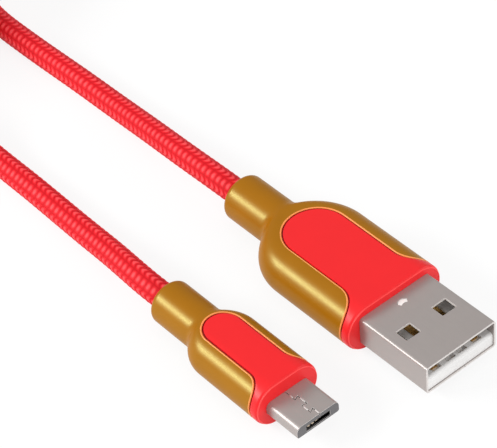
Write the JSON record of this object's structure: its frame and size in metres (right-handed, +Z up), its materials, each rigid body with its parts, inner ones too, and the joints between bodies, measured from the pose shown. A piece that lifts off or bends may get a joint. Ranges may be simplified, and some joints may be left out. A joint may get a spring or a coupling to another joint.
{
  "type": "charging cable",
  "caption": "Red braided charging cable with a rectangular plug and a small spring-latch plug, each in a metallic gold cover with red inlays.",
  "frame": {"origin": "on the underside of the larger plug's grip, where it rests, on the plug's middle line", "axes": "+X along both plugs towards their mouths, +Z up, the smaller plug on the -Y side"},
  "size_m": [0.1484, 0.0509, 0.0161],
  "materials": {
    "plug_steel": "satin nickel-plated sheet",
    "latch_steel": "bright spring steel",
    "white_insulator": "smooth moulded",
    "black_insulator": "smooth moulded",
    "contact_gold": "gold-plated",
    "solder": "soldered",
    "crimp_ring": "plain",
    "inner_mould": "natural",
    "red_grip": "smooth satin",
    "gold_cover": "satin metallic",
    "red_braid": "woven",
    "wire_red": "smooth",
    "wire_white": "smooth",
    "wire_green": "smooth",
    "wire_black": "smooth"
  },
  "bodies": {
    "cable": {"a_shell": "plug_steel", "a_insulator": "white_insulator", "a_contacts": "contact_gold", "a_solder": "solder", "a_wire_red": "wire_red", "a_wire_white": "wire_white", "a_wire_green": "wire_green", "a_wire_black": "wire_black", "a_inner_mould": "inner_mould", "a_crimp": "crimp_ring", "a_jacket_end": "red_braid", "a_grip": "red_grip", "a_cover": "gold_cover", "micro_shell": "plug_steel", "micro_insulator": "black_insulator", "micro_tails": "contact_gold", "micro_solder": "solder", "micro_wire_red": "wire_red", "micro_wire_white": "wire_white", "micro_wire_green": "wire_green", "micro_wire_black": "wire_black", "micro_inner_mould": "inner_mould", "micro_crimp": "crimp_ring", "micro_jacket_end": "red_braid", "micro_grip": "red_grip", "micro_cover": "gold_cover", "cord_a": "red_braid", "cord_coil": "red_braid", "cord_micro": "red_braid"},
    "latch_left": {"latch_left": "latch_steel"},
    "latch_right": {"latch_right": "latch_steel"},
    "contact_springs": {"micro_contact_springs": "contact_gold"}
  },
  "joints": [
    {"name": "latch_left_spring", "type": "hinge", "parent": "cable", "child": "latch_left", "pos_m": [0.007, -0.01705, 0.00285], "axis": [0, -1, 0], "range_deg": [0, 3.4], "stiffness_Nm_per_rad": 0.2},
    {"name": "latch_right_spring", "type": "hinge", "parent": "cable", "child": "latch_right", "pos_m": [0.007, -0.02215, 0.00285], "axis": [0, -1, 0], "range_deg": [0, 3.4], "stiffness_Nm_per_rad": 0.2},
    {"name": "contact_springs_bend", "type": "hinge", "parent": "cable", "child": "contact_springs", "pos_m": [0.0106, -0.0196, 0.00293], "axis": [0, 1, 0], "range_deg": [0, 1.2], "stiffness_Nm_per_rad": 0.2}
  ]
}
